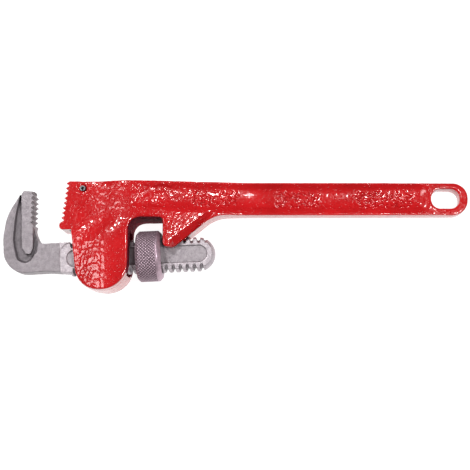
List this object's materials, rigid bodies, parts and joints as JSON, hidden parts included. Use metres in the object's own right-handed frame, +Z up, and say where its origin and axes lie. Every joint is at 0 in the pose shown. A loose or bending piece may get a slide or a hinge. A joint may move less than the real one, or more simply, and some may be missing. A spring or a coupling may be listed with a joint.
{
  "type": "pipe wrench",
  "caption": "Straight pipe wrench with a cast handle and housing, a pinned heel jaw, a sprung hook jaw on a threaded shank and a knurled adjusting nut.",
  "frame": {"origin": "centre of the bounding box at its lowest face, with the wrench lying on its side", "axes": "+X runs along the handle from the hook jaw to the hanging hole, +Y is the side that the jaws open to, +Z is up through the thickness"},
  "size_m": [0.277, 0.0656, 0.0306],
  "materials": {
    "enamel": "glossy red enamel over rough casting",
    "forged_steel": "matt grey forged surface",
    "dark_steel": "dark knurled steel",
    "spring_steel": "plain spring steel"
  },
  "bodies": {
    "handle": {"handle": "enamel", "heel_jaw": "enamel", "heel_jaw_pin": "spring_steel", "coil_spring": "spring_steel"},
    "spring_leaf": {"flat_spring": "spring_steel", "spring_rivet": "spring_steel"},
    "hook_jaw": {"hook_jaw": "forged_steel"},
    "adjusting_nut": {"adjusting_nut": "dark_steel"}
  },
  "joints": [
    {"name": "jaw_rock", "type": "hinge", "parent": "handle", "child": "spring_leaf", "pos_m": [-0.0507, -0.01145, 0.0153], "axis": [0, 0, 1], "range_deg": [-3, 0], "stiffness_Nm_per_rad": 4.5, "springref_deg": 6.88, "deforming": ["coil_spring"]},
    {"name": "nut_turn", "type": "hinge", "parent": "spring_leaf", "child": "adjusting_nut", "pos_m": [-0.0507, -0.01145, 0.0153], "axis": [0.9991, 0.0419, 0], "range_deg": [-1159, 2016]},
    {"name": "hook_jaw_slide", "type": "slide", "parent": "spring_leaf", "child": "hook_jaw", "axis": [-0.9991, -0.0419, 0], "range_m": [-0.0135, 0.0235]}
  ],
  "couplings": [
    {"joint": "nut_turn", "follows": "hook_jaw_slide", "rad_per_m": 1496}
  ]
}
